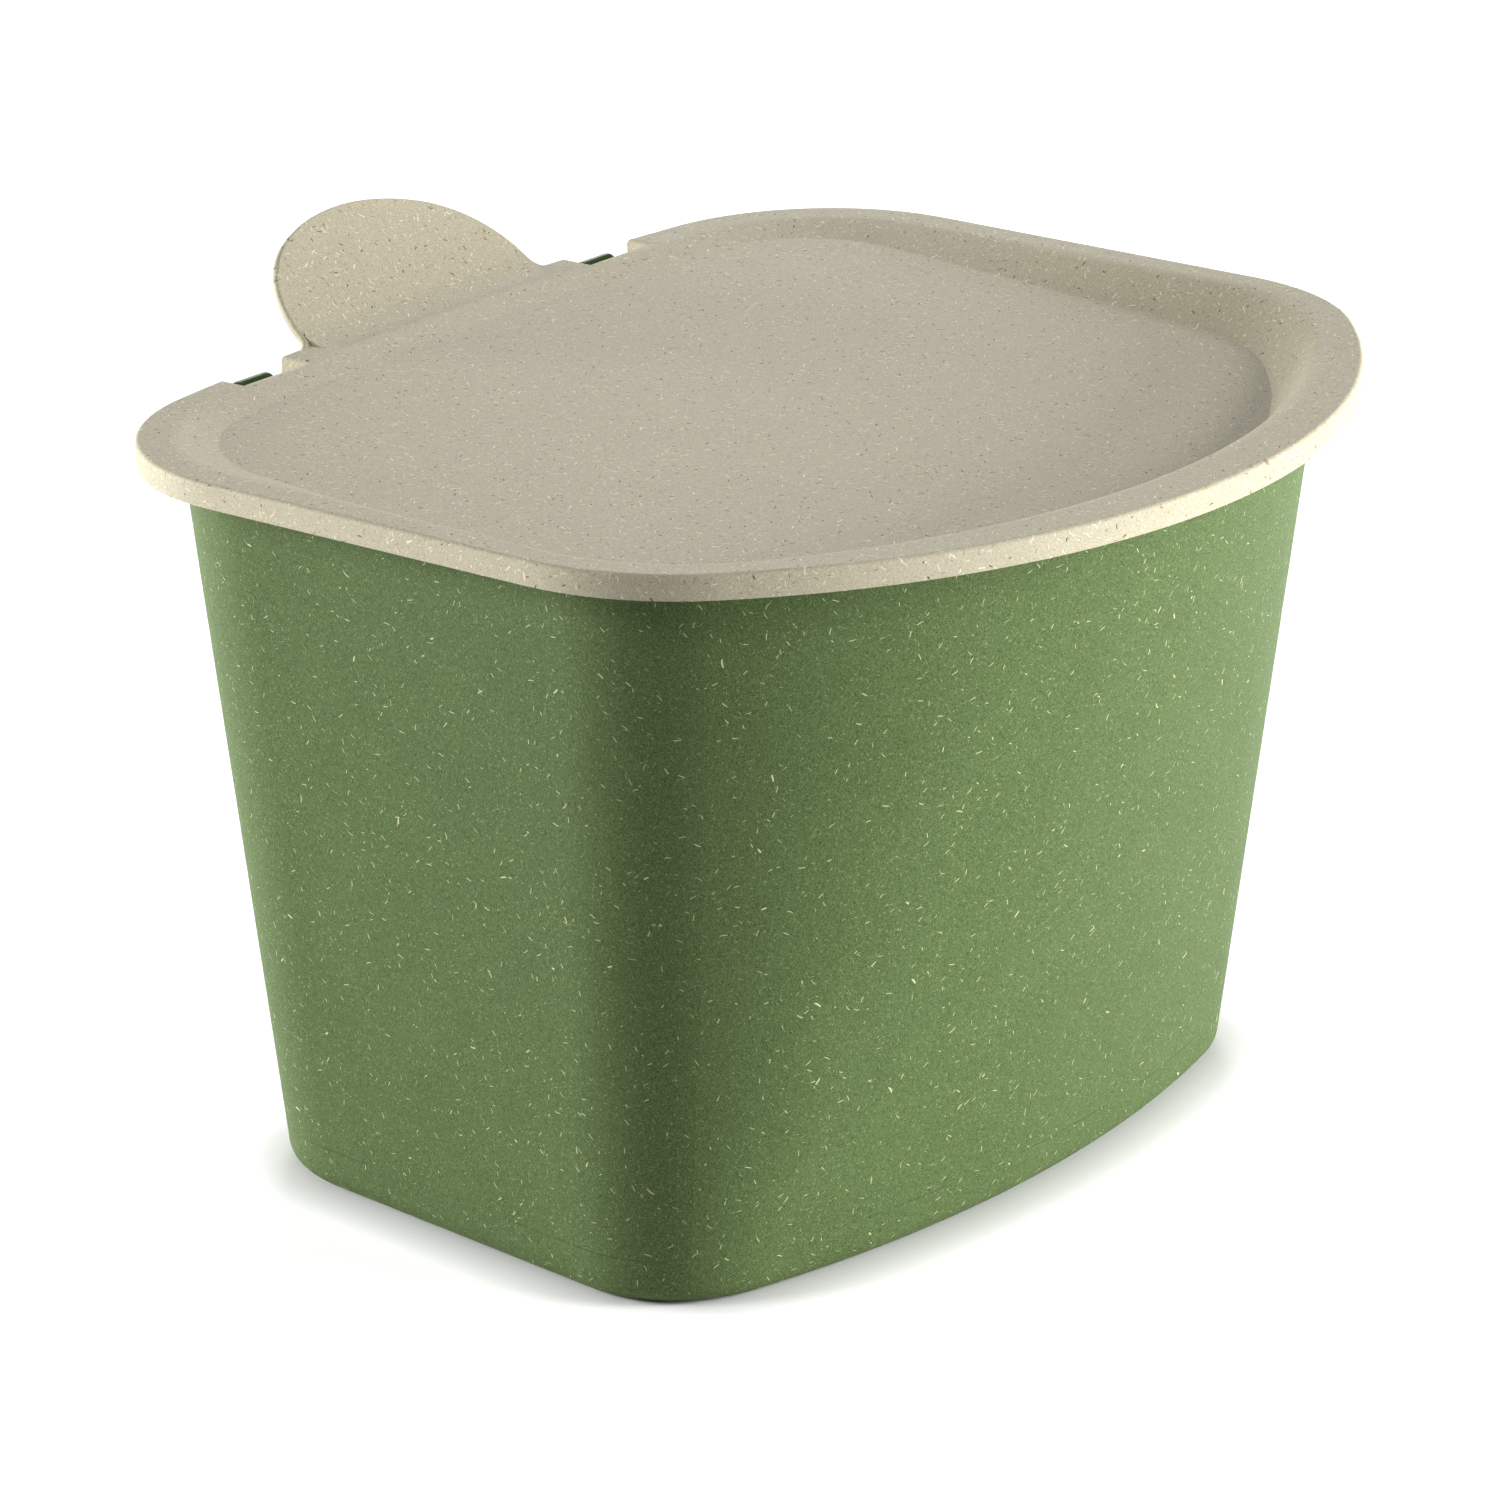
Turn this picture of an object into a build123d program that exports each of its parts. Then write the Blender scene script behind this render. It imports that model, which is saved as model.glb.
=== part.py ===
"""Kitchen compost bin: a drafted tub, a hinged lid with a thumb tab, and two hinge bars.

Millimetres, +Z up. The origin is on the floor under the middle of the lid, +X is to the right
and -Y is the bowed front. The lid is modelled closed, which is the rest pose.
"""
from build123d import *
from math import atan2, cos, degrees, radians, sin, sqrt
import os

# Lid rim, seen from above
lid_half_width = 128.0
lid_back_y = 114.5
lid_front_y = -114.5
lid_back_radius = 740.0
lid_back_corner = 48.4
lid_front_corner = 54.7
lid_front_radius = 157.0

# Lid heights and thicknesses
lid_top_z = 176.0
lid_sheet = 2.0
skirt_height = 5.6
skirt_wall = 2.0
rim_edge_round = 1.0

# Recess in the lid: a brow line on the rim and a crease line on the sloping floor
brow_side_inset = 8.0
brow_back_inset = 9.0
brow_front_inset = 15.0
brow_back_corner = 40.0
brow_front_corner = 50.0
brow_front_radius = 170.0
brow_round = 6.0
crease_side_inset = 19.0
crease_back_inset = 17.2
crease_front_inset = 19.5
crease_back_corner = 30.0
crease_front_corner = 36.0
crease_front_radius = 138.0
crease_round = 2.0
floor_depth_back = 1.8
floor_depth_front = 11.9
bowl_side_wall = 1.2

# Thumb tab behind the hinge line
tab_half_width = 39.5
tab_height = 33.4
tab_shoulder = 1.5
tab_crown_radius = 51.5
tab_flare_radius = 4.0
tab_sheet = 2.2
tab_lean = 53.0
tab_root_from_edge = 1.9
tab_root_depth = 3.0
tab_root_round = 14.0
tab_edge_round = 0.9

# Hinge bars: rods bent at both ends, with their legs down in the tub's brackets
hinge_half_spacing = 59.2
hinge_behind_edge = 0.4
hinge_below_top = 3.8
bar_thickness = 3.0
bar_length = 15.4
bar_bend = 2.0
bar_leg = 10.3
leg_hole_gap = 0.01

# Notches in the lid's back edge that show the bars
notch_half_width = 10.5
notch_depth = 4.8
notch_roll = 10.0
notch_hem = 1.4
notch_edge_round = 1.3
notch_soft_share = 0.97
notch_clear = 6.0
lip_behind_gap = 0.8

# Snap clips on the lips of the notches
clip_width = 7.6
clip_running_gap = 0.06
clip_wall = 1.44
clip_mouth_back = -5.0
clip_mouth_front = 165.0
clip_root_reach = 3.2
clip_root_height = 2.2

# Tub
tub_wall = 2.2
tub_floor = 2.4
base_half_width = 104.5
base_back_y = 99.3
base_front_y = -59.4
base_back_radius = 585.0
base_back_corner = 33.4
base_side_bearing = 83.9
base_front_corner = 29.2
base_front_radius = 305.0
base_round = 5.7
neck_inset = 10.1
neck_below_top = 5.0
flange_height = 2.2
flange_gap = 1.0
flange_behind_hinge = 2.8
flare_inset_low = 11.5
flare_inset_high = 4.5
flare_height = 5.3
funnel_inset_low = 13.4
funnel_inset_high = 6.4
funnel_height = 7.5
window_gap = 0.55
bracket_side = 1.2
bracket_back = 1.2
bracket_below_bar = 3.4
bracket_drop = 18.4
bracket_root_inset = 14.5


def outward(bearing):
    """Unit vector at a bearing in degrees, clockwise from +Y."""
    return Vector(sin(radians(bearing)), cos(radians(bearing)))


class Outline:
    """A symmetric plan outline: bowed back, rounded corners, straight sides, bowed front."""

    def __init__(self, half_width, back_y, back_radius, back_corner, side_bearing,
                 front_corner, front_radius, front_y):
        self.side_bearing = side_bearing
        self.front = (Vector(0, front_y + front_radius), front_radius)
        corner_x = half_width - front_corner
        reach = sqrt((front_radius - front_corner) ** 2 - corner_x ** 2)
        self.front_corner = (Vector(corner_x, self.front[0].Y - reach), front_corner)
        self.front_bearing = 180 - degrees(atan2(corner_x, reach))
        self.back = (Vector(0, back_y - back_radius), back_radius)
        normal = outward(side_bearing)
        along = Vector(-normal.Y, normal.X)
        side = normal.dot(self.front_corner[0]) + front_corner
        foot = normal * (side - back_corner) - self.back[0]
        root = foot.dot(along) ** 2 - foot.dot(foot) + (back_radius - back_corner) ** 2
        centre = foot + along * (sqrt(root) - foot.dot(along))
        self.back_corner = (centre + self.back[0], back_corner)
        self.back_bearing = degrees(atan2(centre.X, centre.Y))

    def arc_at(self, bearing):
        """Centre and radius of the corner or front arc whose outward normal has this bearing."""
        if bearing < self.front_bearing:
            return self.front_corner
        return self.front

    def point(self, arc, bearing, inset):
        centre, radius = arc
        return centre + outward(bearing) * (radius - inset)

    def ring(self, place, inset=0.0, partner=None):
        """Closed wire of the outline, moved in by inset. Rings of two outlines get like edges."""
        partner = partner or self
        stops = sorted({round(self.front_bearing, 9), round(partner.front_bearing, 9)})
        front = [self.side_bearing] + stops
        right = [(self.back_corner, self.back_bearing, self.side_bearing)]
        right += [(self.arc_at((a + b) / 2), a, b) for a, b in zip(front, front[1:])]
        pieces = []
        for arc, start, end in right:
            pieces.append([self.point(arc, start + (end - start) * s / 2, inset) for s in range(3)])
        mirrored = [[Vector(-p.X, p.Y) for p in reversed(piece)] for piece in reversed(pieces)]
        last = self.arc_at((stops[-1] + 180) / 2)
        edges = [ThreePointArc(mirrored[-1][2], self.point(self.back, 0, inset), pieces[0][0])]
        edges.append(ThreePointArc(*pieces[0]))
        edges.append(Line(pieces[0][2], pieces[1][0]))
        edges += [ThreePointArc(*piece) for piece in pieces[1:]]
        edges.append(ThreePointArc(pieces[-1][2], self.point(last, 180, inset), mirrored[0][0]))
        edges += [ThreePointArc(*piece) for piece in mirrored[:-1]]
        edges.append(Line(mirrored[-2][2], mirrored[-1][0]))
        edges.append(ThreePointArc(*mirrored[-1]))
        return place * Wire(edges)


def level(z):
    return Plane((0, 0, z))


def skin(lower, upper):
    """Solid between two plan rings with like edges."""
    return Solid.make_loft([lower, upper], ruled=True)


lid_outline = Outline(lid_half_width, lid_back_y, lid_back_radius, lid_back_corner, 90.0,
                      lid_front_corner, lid_front_radius, lid_front_y)
brow_outline = Outline(lid_half_width - brow_side_inset, lid_back_y - brow_back_inset,
                       lid_back_radius - brow_back_inset, brow_back_corner, 90.0,
                       brow_front_corner, brow_front_radius, lid_front_y + brow_front_inset)
crease_outline = Outline(lid_half_width - crease_side_inset, lid_back_y - crease_back_inset,
                         lid_back_radius - crease_back_inset, crease_back_corner, 90.0,
                         crease_front_corner, crease_front_radius,
                         lid_front_y + crease_front_inset)
base_outline = Outline(base_half_width, base_back_y, base_back_radius, base_back_corner,
                       base_side_bearing, base_front_corner, base_front_radius, base_front_y)

rim_top_z = lid_top_z - lid_sheet
neck_z = lid_top_z - neck_below_top
flange_z = rim_top_z - flange_height
edge_y_at_hinge = lid_outline.back[0].Y + sqrt(lid_back_radius ** 2 - hinge_half_spacing ** 2)
hinge_y = edge_y_at_hinge + hinge_behind_edge
hinge_z = lid_top_z - hinge_below_top
bar_radius = bar_thickness / 2
leg_offset = bar_length / 2 - bar_radius
lip_y = hinge_y - bar_radius - lip_behind_gap
roll_start_y = lip_y - sqrt(notch_roll ** 2 - (notch_roll - notch_depth) ** 2)
bracket_root_y = lid_back_y - bracket_root_inset
both_sides = (-1, 1)


def tilted_floor(drop):
    """Plane of the recess floor, lowered by drop."""
    back = lid_back_y - crease_back_inset
    front = lid_front_y + crease_front_inset
    slope = (floor_depth_front - floor_depth_back) / (back - front)
    middle_depth = floor_depth_back + slope * back
    return Plane((0, 0, lid_top_z - middle_depth - drop), x_dir=(1, 0, 0), z_dir=(0, -slope, 1))


def recess_cutter():
    """The dished space above the recess floor, with its bottom edge rounded."""
    crease = crease_outline.ring(tilted_floor(0), partner=brow_outline)
    brow = brow_outline.ring(level(lid_top_z), partner=crease_outline)
    cutter = skin(crease, brow)
    floor_face = cutter.faces().sort_by(Axis.Z)[0]
    return fillet(floor_face.edges(), crease_round)


def pocket():
    """Space inside the skirt, below the rim's sheet."""
    ring = lid_outline.ring(level(lid_top_z - skirt_height), skirt_wall)
    return extrude(make_face(ring), skirt_height - lid_sheet)


def bowl_block():
    """The underside of the dish, one sheet thickness below the recess."""
    crease = crease_outline.ring(tilted_floor(lid_sheet), -bowl_side_wall, brow_outline)
    brow = brow_outline.ring(level(rim_top_z), -bowl_side_wall, crease_outline)
    return skin(crease, brow)


def tab_outline():
    """Half outline of the thumb tab as arcs: crown, side and the flare at its foot."""
    rise = tab_height - tab_shoulder
    across = tab_crown_radius - tab_half_width
    side_radius = (2 * tab_crown_radius * rise - rise ** 2 - tab_half_width ** 2) / (2 * across)
    crown = Vector(0, tab_height - tab_crown_radius)
    side = Vector(tab_half_width - side_radius, tab_shoulder)
    reach = sqrt((side_radius + tab_flare_radius) ** 2 - (tab_flare_radius - tab_shoulder) ** 2)
    flare = Vector(side.X + reach, tab_flare_radius)
    join = crown + (side - crown).normalized() * tab_crown_radius
    waist = side + (flare - side).normalized() * side_radius
    middle = side + ((join - side) + (waist - side)).normalized() * side_radius
    foot = Vector(flare.X, 0)
    hollow = flare + ((waist - flare) + (foot - flare)).normalized() * tab_flare_radius
    return [(Vector(0, tab_height), join), (join, middle, waist), (waist, hollow, foot)]


def thumb_tab():
    """Rounded lobe that leans back from the rim, drawn on its front face."""
    lean = radians(tab_lean)
    root_y = lid_back_y - tab_root_from_edge
    face = Plane((0, root_y, lid_top_z), x_dir=(1, 0, 0), z_dir=(0, -cos(lean), sin(lean)))
    (top, join), side, flare = tab_outline()
    foot = flare[2]
    edges = [ThreePointArc(Vector(-join.X, join.Y), top, join)]
    for sign in (1, -1):
        for arc in (side, flare):
            edges.append(ThreePointArc(*[Vector(sign * p.X, p.Y) for p in arc]))
        edges.append(Line((sign * foot.X, 0), (sign * foot.X, -tab_root_depth)))
    edges.append(Line((-foot.X, -tab_root_depth), (foot.X, -tab_root_depth)))
    tab = extrude(face * make_face(edges), -tab_sheet)
    return fillet(tab.edges().filter_by(GeomType.CIRCLE), tab_edge_round)


def tab_root():
    """Hollow rounding between the rim's top face and the front of the thumb tab."""
    lean = radians(tab_lean)
    root_y = lid_back_y - tab_root_from_edge
    tangent = tab_root_round * (1 - sin(lean)) / cos(lean)
    turn = radians(90 - tab_lean) / 2
    start = Vector(0, root_y - tangent, lid_top_z)
    end = Vector(0, root_y + tangent * sin(lean), lid_top_z + tangent * cos(lean))
    middle = start + Vector(0, sin(turn), 1 - cos(turn)) * tab_root_round
    inside = Vector(0, root_y, lid_top_z - tab_sheet / 2)
    outline = make_face([ThreePointArc(start, middle, end), Line(end, inside), Line(inside, start)])
    return extrude(outline, tab_half_width - tab_edge_round, (1, 0, 0), both=True)


def roll_profile(side, grow, foot, top, back_y, half_width):
    """Prism across X above a notch's rolled floor, which grow moves down by a sheet thickness."""
    radius = notch_roll - grow
    turn = atan2(sqrt(radius ** 2 - (notch_roll - foot) ** 2), notch_roll - foot)
    arc = [(roll_start_y + radius * sin(turn * share), radius * cos(turn * share) - notch_roll)
           for share in (0, 0.5, 1)]
    low = min(arc[2][1], -foot)
    edges = [ThreePointArc(*arc), Line(arc[2], (back_y, low)), Line((back_y, low), (back_y, top))]
    edges += [Line((back_y, top), (roll_start_y, top)), Line((roll_start_y, top), arc[0])]
    plane = Plane((side * hinge_half_spacing, 0, lid_top_z), x_dir=(0, 1, 0), z_dir=(1, 0, 0))
    return extrude(plane * make_face(edges), half_width, both=True)


def notch_walls(side):
    """Prism along Y between a notch's side walls, whose top edges are rounded."""
    round_z = -notch_edge_round * notch_soft_share
    flare_x = notch_half_width + notch_edge_round
    lean = notch_edge_round * sin(radians(45))
    edges = []
    for sign in (1, -1):
        wall = [(sign * notch_half_width, -2 * skirt_height), (sign * notch_half_width, round_z)]
        middle = (sign * (flare_x - lean), round_z + lean)
        crest = (sign * flare_x, round_z + notch_edge_round)
        edges += [Line(*wall), ThreePointArc(wall[1], middle, crest)]
        edges.append(Line(crest, (crest[0], notch_clear)))
    edges.append(Line((-flare_x, notch_clear), (flare_x, notch_clear)))
    edges.append(Line((-notch_half_width, -2 * skirt_height), (notch_half_width, -2 * skirt_height)))
    plane = Plane((side * hinge_half_spacing, lid_back_y, lid_top_z), x_dir=(1, 0, 0), z_dir=(0, -1, 0))
    return extrude(plane * make_face(edges), lid_back_y, both=True)


def notch(side):
    """Space of one hinge notch, open behind its lip all the way down."""
    wide = notch_half_width + 2 * notch_edge_round
    above = roll_profile(side, 0, notch_depth, notch_clear, 2 * lid_back_y, wide)
    behind = Pos(side * hinge_half_spacing, lip_y, lid_top_z) * Box(
        2 * wide, lid_back_y, lid_top_z, align=(Align.CENTER, Align.MIN, Align.CENTER))
    return notch_walls(side) & (above + behind)


def notch_bed(side):
    """Sheet under the rolled floor and up both walls, kept below the lid's top face."""
    return roll_profile(side, lid_sheet, notch_depth + notch_hem, -lid_sheet / 2,
                        lip_y + skirt_wall / 2, notch_half_width + lid_sheet)


def snap_clip(x):
    """Open ring that turns on a hinge bar, joined to the notch's lip."""
    inner = bar_radius + clip_running_gap
    outer = inner + clip_wall
    axis = Plane((x - clip_width / 2, hinge_y, hinge_z), x_dir=(0, 1, 0), z_dir=(1, 0, 0))
    bottom = (Align.CENTER, Align.CENTER, Align.MIN)
    root = Box(clip_root_reach, clip_root_height, clip_width, align=(Align.MAX, Align.MAX, Align.MIN))
    ring = Cylinder(outer, clip_width, align=bottom) + root - Cylinder(inner, clip_width, align=bottom)
    reach = 3 * outer
    back = outward(90 - clip_mouth_back) * reach
    front = outward(90 - clip_mouth_front) * reach
    wedge = make_face(Polyline((0, 0), back, (reach, reach), (-reach, reach), front, close=True))
    return axis * (ring - extrude(wedge, clip_width))


def rim_and_dish():
    """Flat rim with its skirt, and the dish inside it with a soft brow."""
    skirt_z = lid_top_z - skirt_height
    body = extrude(make_face(lid_outline.ring(level(skirt_z))), skirt_height)
    body = fillet(body.faces().sort_by(Axis.Z)[-1].edges(), rim_edge_round)
    body = body - pocket() + bowl_block() - recess_cutter()
    brow_face = body.faces().filter_by(Plane.XY).group_by(Axis.Z)[-1].sort_by(SortBy.AREA)[-1]
    return fillet(brow_face.inner_wires()[0].edges(), brow_round)


def lid():
    """Rim, dish, skirt, thumb tab and clips in one moulding."""
    body = rim_and_dish() + (thumb_tab() - pocket()) + tab_root()
    for side in both_sides:
        body = body + (notch_bed(side) - recess_cutter())
    for side in both_sides:
        body = body - notch(side)
    for side in both_sides:
        body = body + snap_clip(side * hinge_half_spacing)
    return body


def hinge_bar(x):
    """Rod along X with both ends bent down."""
    foot_z = hinge_z - bar_leg
    points = [(x - leg_offset, hinge_y, foot_z), (x - leg_offset, hinge_y, hinge_z)]
    points += [(x + leg_offset, hinge_y, hinge_z), (x + leg_offset, hinge_y, foot_z)]
    path = FilletPolyline(*points, radius=bar_bend)
    section = Plane(path @ 0, z_dir=path % 0) * Circle(bar_radius)
    return sweep(section, path=path)


def tub_shell(inset):
    """Solid inside the drafted wall, moved in by inset."""
    return skin(base_outline.ring(level(0), inset, lid_outline),
                lid_outline.ring(level(neck_z), neck_inset + inset, base_outline))


def rim():
    """Flange and flare, cut off behind so that the lid's skirt can swing past."""
    flare = skin(lid_outline.ring(level(flange_z - flare_height), flare_inset_low),
                 lid_outline.ring(level(flange_z), flare_inset_high))
    flange = extrude(make_face(lid_outline.ring(level(flange_z), skirt_wall + flange_gap)), flange_height)
    behind = Pos(0, hinge_y - flange_behind_hinge, 0) * Box(
        4 * lid_half_width, lid_back_y, 2 * lid_top_z, align=(Align.CENTER, Align.MIN, Align.CENTER))
    return flare + flange - behind


def bracket(x):
    """Block behind the tub's wall that holds both legs of one hinge bar."""
    width = 2 * (leg_offset + bar_radius + bracket_side)
    top = hinge_z - bracket_below_bar
    back = hinge_y + bar_radius + bracket_back
    foot = hinge_z - bar_leg - bracket_back
    outline = Polyline((0, bracket_root_y, top), (0, back, top), (0, back, foot),
                       (0, bracket_root_y, top - bracket_drop), close=True)
    block = Pos(x, 0, 0) * extrude(make_face(outline), width / 2, (1, 0, 0), both=True)
    for leg in (-leg_offset, leg_offset):
        hole = Cylinder(bar_radius + leg_hole_gap, bar_leg, align=(Align.CENTER, Align.CENTER, Align.MIN))
        block = block - Pos(x + leg, hinge_y, hinge_z - bar_leg) * hole
    return block


def rim_window(side):
    """Part of the rim left out below one notch of the lid."""
    width = 2 * (notch_half_width + lid_sheet + window_gap)
    floor_z = lid_top_z - notch_depth - notch_hem - window_gap
    return Pos(side * hinge_half_spacing, bracket_root_y, floor_z) * Box(
        width, lid_back_y / 2, lid_top_z, align=(Align.CENTER, Align.CENTER, Align.MIN))


def tub():
    """Drafted shell with a flared rim, a flat base and a bracket for each hinge bar."""
    outer = tub_shell(0)
    outer = fillet(outer.faces().sort_by(Axis.Z)[0].edges(), base_round)
    inner = split(tub_shell(tub_wall), bisect_by=level(tub_floor), keep=Keep.TOP)
    inner = fillet(inner.faces().sort_by(Axis.Z)[0].edges(), base_round - tub_wall)
    funnel = skin(lid_outline.ring(level(rim_top_z - funnel_height), funnel_inset_low),
                  lid_outline.ring(level(rim_top_z), funnel_inset_high))
    body = outer + rim()
    for side in both_sides:
        body = body + bracket(side * hinge_half_spacing)
    body = body - inner - funnel
    for side in both_sides:
        body = body - rim_window(side)
    return body


os.makedirs("parts", exist_ok=True)
export_step(tub(), "parts/tub.step")
export_step(lid(), "parts/lid.step")
export_step(hinge_bar(-hinge_half_spacing), "parts/hinge_bar_left.step")
export_step(hinge_bar(hinge_half_spacing), "parts/hinge_bar_right.step")
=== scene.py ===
import math
import bpy
from mathutils import Matrix, Vector

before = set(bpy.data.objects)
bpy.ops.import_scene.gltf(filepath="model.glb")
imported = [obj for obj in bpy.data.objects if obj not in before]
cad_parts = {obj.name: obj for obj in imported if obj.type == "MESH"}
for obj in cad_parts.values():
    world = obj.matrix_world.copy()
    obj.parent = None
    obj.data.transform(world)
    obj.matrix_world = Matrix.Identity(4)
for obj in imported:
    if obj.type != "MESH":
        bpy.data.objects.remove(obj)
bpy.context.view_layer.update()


# Tub: injection-moulded shell of green plastic filled with plant fibre. The straw shows as fine
# pale splinters lying in the surface, with a few dark ones, and the mould leaves a dry grain.
# Lengths here and below are in metres.

def paint(red, green, blue):
    """Colour written as it is read on a screen, 0 to 255."""
    return tuple(((c / 255 + 0.055) / 1.055) ** 2.4 for c in (red, green, blue)) + (1.0,)


def node_adder(tree):
    """The call that adds a node to this tree, sets its fixed inputs and wires the rest."""
    def add(kind, inputs=None, **settings):
        node = tree.nodes.new(kind)
        for name, value in settings.items():
            setattr(node, name, value)
        for key, value in (inputs or {}).items():
            if isinstance(value, bpy.types.NodeSocket):
                tree.links.new(value, node.inputs[key])
            else:
                node.inputs[key].default_value = value
        return node
    return add


def math_node(add, operation, *values):
    """Output of a Math node."""
    return add("ShaderNodeMath", dict(enumerate(values)), operation=operation).outputs[0]


def vector_node(add, operation, *values, out="Vector"):
    """Output of a Vector Math node."""
    node = add("ShaderNodeVectorMath", dict(enumerate(values)), operation=operation)
    return node.outputs[out]


def ramp(add, value, start, end, at_start, at_end, kind="LINEAR"):
    """Value that goes from at_start to at_end between start and end, and is held outside them."""
    node = add("ShaderNodeMapRange", {"Value": value, "From Min": start, "From Max": end,
                                      "To Min": at_start, "To Max": at_end},
               interpolation_type=kind)
    return node.outputs[0]


def blend(add, share, first, second):
    """First colour, with this share of the second laid over it."""
    node = add("ShaderNodeMix", {"Factor": share, "A": first, "B": second}, data_type="RGBA")
    return node.outputs["Result"]


def new_group(name, vectors, values, outputs):
    """Shader group with vector inputs, number inputs with their defaults, and number outputs."""
    group = bpy.data.node_groups.new(name, "ShaderNodeTree")
    socket = group.interface.new_socket
    for label in vectors:
        socket(label, in_out="INPUT", socket_type="NodeSocketVector")
    for label, default in values.items():
        socket(label, in_out="INPUT", socket_type="NodeSocketFloat").default_value = default
    for label in outputs:
        socket(label, in_out="OUTPUT", socket_type="NodeSocketFloat")
    add = node_adder(group)
    return group, add, add("NodeGroupInput").outputs


def make_splinter_group():
    """Plant splinters in the surface: at most one in each cell, turned at random, a little bent."""
    shortest, longest = 0.15, 0.5    # half a splinter, as a share of Length
    most_bend = 1.2                  # how far a tip is off to the side, in half widths
    full, gone = 0.55, 1.25          # soft edge of a splinter's outline
    deepest = 0.4                    # how far its cell's point may lie off the surface, by Spacing
    group, add, given = new_group(
        "plant_splinters", ("Place", "Surface Normal"),
        {"Spacing": 0.002, "Length": 0.001, "Width": 0.0001, "Share": 0.5}, ("Mask", "Shade"))
    normal = given["Surface Normal"]
    cells_per_metre = math_node(add, "DIVIDE", 1.0, given["Spacing"])
    cells = add("ShaderNodeTexVoronoi", {"Vector": given["Place"], "Scale": cells_per_metre,
                                         "Randomness": 1.0},
                voronoi_dimensions="3D", feature="F1").outputs
    dice = add("ShaderNodeTexWhiteNoise", {"Vector": cells["Color"]}, noise_dimensions="3D").outputs
    picks = add("ShaderNodeSeparateColor", {"Color": dice["Color"]}).outputs

    # The way from the cell's point to here, split into height and a part flat in the surface.
    offset = vector_node(add, "SUBTRACT", given["Place"], cells["Position"])
    height = vector_node(add, "DOT_PRODUCT", offset, normal, out="Value")
    rise = add("ShaderNodeVectorMath", {0: normal, "Scale": height}, operation="SCALE").outputs[0]
    flat = vector_node(add, "SUBTRACT", offset, rise)

    # The splinter's own direction: the cell's random one, laid into the surface.
    thrown = vector_node(add, "SUBTRACT", cells["Color"], (0.5, 0.5, 0.5))
    direction = vector_node(add, "CROSS_PRODUCT", thrown, normal)
    direction = vector_node(add, "NORMALIZE", direction)
    sideways = vector_node(add, "CROSS_PRODUCT", direction, normal)

    # How far along and across it this place is, in half lengths squared and in half widths.
    reach = math_node(add, "MULTIPLY_ADD", picks["Red"], longest - shortest, shortest)
    half_length = math_node(add, "MULTIPLY", given["Length"], reach)
    half_width = math_node(add, "MULTIPLY", given["Width"], 0.5)
    along = vector_node(add, "DOT_PRODUCT", flat, direction, out="Value")
    along = math_node(add, "DIVIDE", along, half_length)
    along = math_node(add, "MULTIPLY", along, along)
    across = vector_node(add, "DOT_PRODUCT", flat, sideways, out="Value")
    across = math_node(add, "DIVIDE", across, half_width)
    bend = math_node(add, "MULTIPLY_ADD", dice["Value"], 2 * most_bend, -most_bend)
    across = math_node(add, "MULTIPLY_ADD", along, bend, across)
    oval = math_node(add, "MULTIPLY_ADD", across, across, math_node(add, "MULTIPLY", along, along))

    inside = ramp(add, oval, full, gone, 1.0, 0.0, kind="SMOOTHSTEP")
    kept = math_node(add, "LESS_THAN", picks["Green"], given["Share"])
    off_surface = math_node(add, "ABSOLUTE", height)
    limit = math_node(add, "MULTIPLY", given["Spacing"], deepest)
    near = math_node(add, "LESS_THAN", off_surface, limit)
    mask = math_node(add, "MULTIPLY", inside, math_node(add, "MULTIPLY", kept, near))
    add("NodeGroupOutput", {"Mask": mask, "Shade": picks["Blue"]})
    return group


def make_grain_group():
    """Dry grain left by the mould: fine dust, with a little broad cloud in its shade."""
    cloud_scale = 55.0
    cloud_share = 0.08
    darkest, lightest = 0.3, 0.7
    group, add, given = new_group(
        "mould_grain", ("Place",), {"Scale": 2600.0}, ("Shade", "Relief", "Cloud"))
    cloud = add("ShaderNodeTexNoise", {"Vector": given["Place"], "Scale": cloud_scale,
                                       "Detail": 3.0}).outputs[0]
    dust = add("ShaderNodeTexNoise", {"Vector": given["Place"], "Scale": given["Scale"],
                                      "Detail": 2.0, "Roughness": 0.6}).outputs[0]
    cloud_part = math_node(add, "MULTIPLY", cloud, cloud_share)
    mixed = math_node(add, "MULTIPLY_ADD", dust, 1.0 - cloud_share, cloud_part)
    shade = ramp(add, mixed, darkest, lightest, 0.0, 1.0)
    add("NodeGroupOutput", {"Shade": shade, "Relief": dust, "Cloud": cloud})
    return group


splinters = make_splinter_group()
mould_grain = make_grain_group()


def bare_material(name):
    """New material without nodes, and the call that adds them."""
    material = bpy.data.materials.new(name)
    material.use_nodes = True
    material.node_tree.nodes.clear()
    return material, node_adder(material.node_tree)


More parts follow.
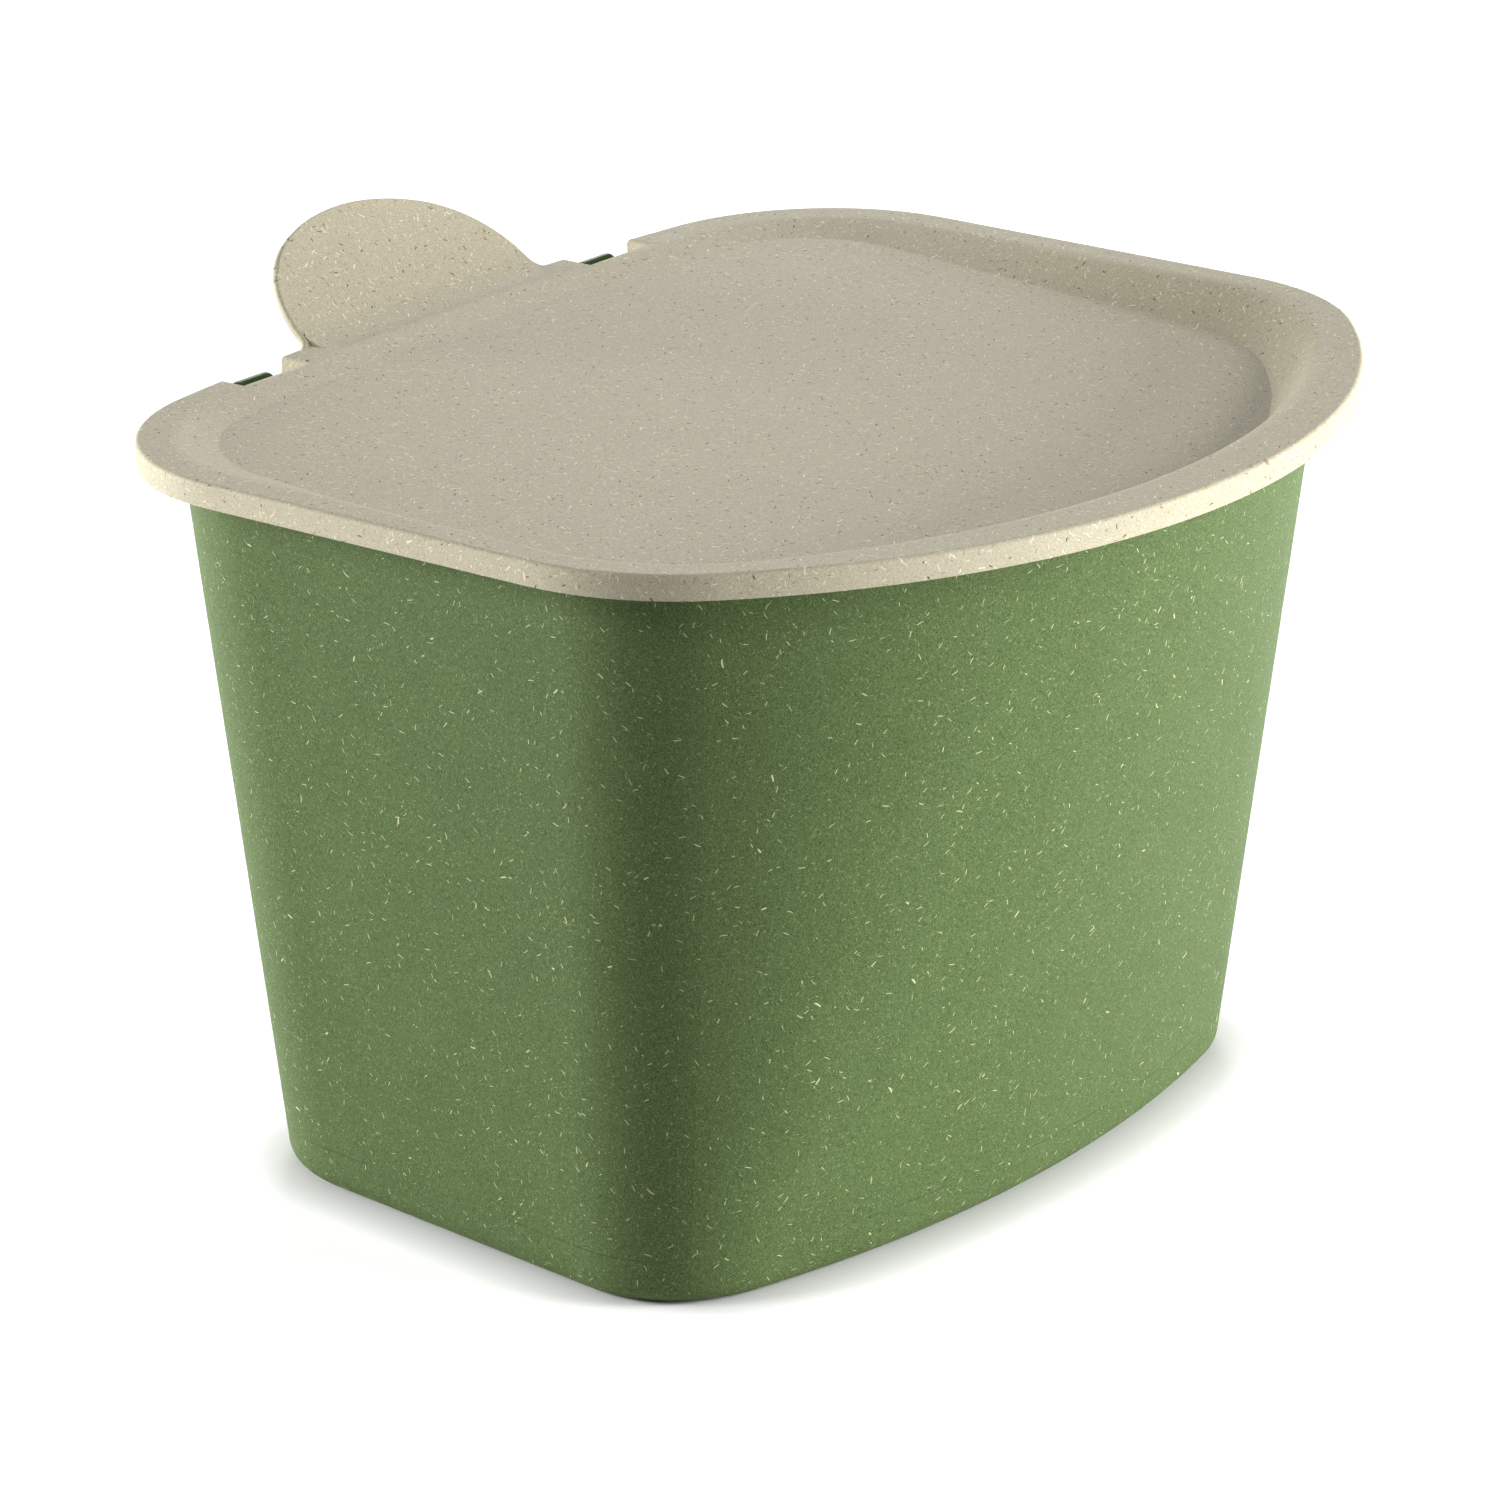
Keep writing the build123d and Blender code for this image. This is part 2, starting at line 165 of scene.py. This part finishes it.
def fibre_plastic(name, base, layers, grain, bump, roughness, seam=None):
    """Fibre-filled plastic: two base colours under the dry grain, then layers of splinters, each
    (spacing, length, width, share, dark colour, light colour, cover). A seam is the height of the
    faint broken line where two parts of the mould meet."""
    material, add = bare_material(name)
    place = add("ShaderNodeTexCoord").outputs
    dry = add("ShaderNodeGroup", {"Place": place["Object"], "Scale": grain},
              node_tree=mould_grain).outputs
    colour = blend(add, dry["Shade"], *base)
    for number, (spacing, length, width, share, dark, light, cover) in enumerate(layers):
        own_shift = (1.7 * number + 0.3, 0.9 * number, 2.3 * number)
        flecks = add("ShaderNodeGroup", {
            "Place": vector_node(add, "ADD", place["Object"], own_shift),
            "Surface Normal": place["Normal"],
            "Spacing": spacing, "Length": length, "Width": width, "Share": share},
            node_tree=splinters).outputs
        tone = blend(add, flecks["Shade"], dark, light)
        colour = blend(add, math_node(add, "MULTIPLY", flecks["Mask"], cover), colour, tone)
    relief = dry["Relief"]
    if seam is not None:
        line_core, line_edge = 0.00008, 0.00022
        line_cloud = 0.5
        line_cover = 0.45
        height = add("ShaderNodeSeparateXYZ", {"Vector": place["Object"]}).outputs["Z"]
        off_line = math_node(add, "ABSOLUTE", math_node(add, "SUBTRACT", height, seam))
        line = ramp(add, off_line, line_core, line_edge, 1.0, 0.0)
        there = math_node(add, "GREATER_THAN", dry["Cloud"], line_cloud)
        line = math_node(add, "MULTIPLY", line, there)
        cover = math_node(add, "MULTIPLY", line, line_cover)
        colour = blend(add, cover, colour, paint(44, 58, 30))
        relief = math_node(add, "SUBTRACT", relief, line)
    dents = add("ShaderNodeBump", {"Strength": bump, "Distance": 0.0002, "Height": relief})
    skin = add("ShaderNodeBsdfPrincipled", {
        "Base Color": colour, "Roughness": roughness, "Normal": dents.outputs[0],
        "IOR": 1.48, "Specular IOR Level": 0.1})
    add("ShaderNodeOutputMaterial", {"Surface": skin.outputs[0]})
    return material


def dress(name, material):
    """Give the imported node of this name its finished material."""
    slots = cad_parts[name].data.materials
    slots.clear()
    slots.append(material)


dress("tub", fibre_plastic(
    "fibre_green",
    base=(paint(58, 75, 38), paint(102, 121, 77)),
    layers=(
        (0.00055, 0.0008, 0.00010, 0.85, paint(46, 60, 30), paint(140, 156, 110), 0.65),
        (0.00150, 0.0011, 0.00013, 0.60, paint(112, 132, 84), paint(180, 192, 146), 0.70),
        (0.00400, 0.0018, 0.00018, 0.55, paint(170, 178, 132), paint(218, 220, 184), 0.90),
        (0.01300, 0.0022, 0.00038, 0.45, paint(178, 170, 122), paint(222, 218, 180), 0.88),
        (0.00560, 0.0006, 0.00024, 0.45, paint(26, 32, 18), paint(52, 54, 32), 0.85)),
    grain=2600.0, bump=0.35, roughness=0.55, seam=0.0112))


# Hinge bars: two short rods of plain dark green plastic, bent down at both ends and set in the
# tub's brackets. They are bare of fibre and a little glossier than the shell.
bar_green, add = bare_material("plain_dark_green")
bar_place = add("ShaderNodeTexCoord").outputs["Object"]
bar_dry = add("ShaderNodeGroup", {"Place": bar_place, "Scale": 900.0},
              node_tree=mould_grain).outputs
bar_colour = blend(add, bar_dry["Shade"], paint(42, 70, 24), paint(56, 88, 32))
bar_dents = add("ShaderNodeBump", {"Strength": 0.1, "Distance": 0.0001,
                                   "Height": bar_dry["Relief"]})
bar_skin = add("ShaderNodeBsdfPrincipled", {
    "Base Color": bar_colour, "Roughness": 0.34, "Normal": bar_dents.outputs[0],
    "Specular IOR Level": 0.12})
add("ShaderNodeOutputMaterial", {"Surface": bar_skin.outputs[0]})
for side in ("left", "right"):
    dress("hinge_bar_" + side, bar_green)


# Lid: one moulding of the same kind of plastic in a stone colour, with the dished top, the skirt
# that hangs over the tub's rim and the thumb tab. It has more brown splinters than the tub.
dress("lid", fibre_plastic(
    "fibre_stone",
    base=(paint(168, 161, 139), paint(196, 189, 166)),
    layers=(
        (0.00075, 0.0010, 0.00015, 0.85, paint(130, 119, 93), paint(224, 218, 197), 0.65),
        (0.00200, 0.0015, 0.00022, 0.50, paint(210, 203, 178), paint(240, 235, 216), 0.85),
        (0.00260, 0.0014, 0.00021, 0.45, paint(104, 86, 60), paint(150, 132, 102), 0.75),
        (0.00460, 0.0022, 0.00028, 0.45, paint(222, 210, 177), paint(244, 238, 220), 0.90),
        (0.01100, 0.0024, 0.00040, 0.45, paint(196, 166, 114), paint(228, 210, 168), 0.85),
        (0.00420, 0.0014, 0.00032, 0.45, paint(56, 44, 28), paint(110, 90, 64), 0.90)),
    grain=2600.0, bump=0.3, roughness=0.55))


# Studio: a white table with the bin's narrow contact shadow, partly cast by the lamps and partly
# painted as a glow that dims close to the bin.
# It stands in a white room, with five small lamps to both sides, so the corner that faces the
# camera is the darkest of the tub.
def looked_at_share(add):
    """1 for what the camera sees, straight or in a gloss or glass, and 0 for falling light."""
    ray = add("ShaderNodeLightPath").outputs
    mirrored = math_node(add, "MAXIMUM", ray["Is Glossy Ray"], ray["Is Transmission Ray"])
    return math_node(add, "MAXIMUM", ray["Is Camera Ray"], mirrored)


white_light = (1.0, 1.0, 1.0, 1.0)
half = 6.0
glow_by_bin, glow_far_off = 0.55, 1.0
inner, outer = 0.4, 1.7
painted_shadow_width = 0.012
floor_mesh = bpy.data.meshes.new("table_top")
floor_mesh.from_pydata([(-half, -half, 0), (half, -half, 0), (half, half, 0), (-half, half, 0)],
                       [], [(0, 1, 2, 3)])
table_top = bpy.data.objects.new("table_top", floor_mesh)
bpy.context.scene.collection.objects.link(table_top)
table_paper, add = bare_material("white_paper")
looked_at = looked_at_share(add)
from_bin = vector_node(add, "LENGTH", add("ShaderNodeTexCoord").outputs["Object"], out="Value")
glow = ramp(add, from_bin, inner, outer, glow_by_bin, glow_far_off)
# Painted contact shadow: the table's glow dims close to the bin by the square of how open the floor
# is within painted_shadow_width.
clear = add("ShaderNodeAmbientOcclusion", {"Distance": painted_shadow_width}, samples=16).outputs["AO"]
glow = math_node(add, "MULTIPLY", glow, math_node(add, "MULTIPLY", clear, clear))
matt = add("ShaderNodeBsdfDiffuse", {"Color": (0.8, 0.8, 0.8, 1.0)})
shine = add("ShaderNodeEmission", {"Color": white_light,
                                   "Strength": math_node(add, "MULTIPLY", looked_at, glow)})
both = add("ShaderNodeAddShader", {0: matt.outputs[0], 1: shine.outputs[0]})
add("ShaderNodeOutputMaterial", {"Surface": both.outputs[0]})
floor_mesh.materials.append(table_paper)

studio = bpy.data.worlds.new("studio")
studio.use_nodes = True
studio.node_tree.nodes.clear()
add = node_adder(studio.node_tree)
looked_at = looked_at_share(add)
unlit = add("ShaderNodeBackground", {"Color": white_light, "Strength": 0.0})
white = add("ShaderNodeBackground", {"Color": white_light, "Strength": 1.0})
room = add("ShaderNodeMixShader", {0: looked_at, 1: unlit.outputs[0], 2: white.outputs[0]})
add("ShaderNodeOutputWorld", {"Surface": room.outputs[0]})
bpy.context.scene.world = studio

lamp_side = 0.5
lit_point = Vector((0.0, 0.0, 0.1))
for name, place, watts in (
        ("right_low", (0.896, -1.434, 0.278), 43.5),
        ("right_high", (0.513, -1.410, 0.898), 14.5),
        ("left_low", (-0.715, 1.532, 0.278), 36.5),
        ("left_high", (-1.230, 0.861, 0.898), 14.0),
        ("back_fill", (1.128, 0.946, 0.950), 8.0)):
    lamp = bpy.data.lights.new(name, "AREA")
    lamp.shape = "RECTANGLE"
    lamp.size = lamp_side
    lamp.size_y = lamp_side
    lamp.energy = watts
    stand = bpy.data.objects.new(name, lamp)
    stand.location = place
    stand.rotation_euler = (lit_point - Vector(place)).to_track_quat("-Z", "Y").to_euler()
    bpy.context.scene.collection.objects.link(stand)


# Camera: long lens from the front left and above, as the photograph was taken, with the slight
# roll that it was held at.
eye = Vector((-1.15280, -0.94182, 0.62663))
target = Vector((-0.00943, 0.01132, 0.09146))
roll = -0.0257249915
forward = (target - eye).normalized()
level_right = forward.cross(Vector((0, 0, 1))).normalized()
level_up = level_right.cross(forward)
right = level_right * math.cos(roll) + level_up * math.sin(roll)
up = level_up * math.cos(roll) - level_right * math.sin(roll)
lens = bpy.data.cameras.new("camera")
lens.sensor_width = 36.0
lens.lens = 169.24
lens.clip_end = 50.0
camera = bpy.data.objects.new("camera", lens)
camera.matrix_world = Matrix((
    (right.x, up.x, -forward.x, eye.x),
    (right.y, up.y, -forward.y, eye.y),
    (right.z, up.z, -forward.z, eye.z),
    (0, 0, 0, 1)))
bpy.context.scene.collection.objects.link(camera)
bpy.context.scene.camera = camera
bpy.context.scene.view_settings.view_transform = "Standard"
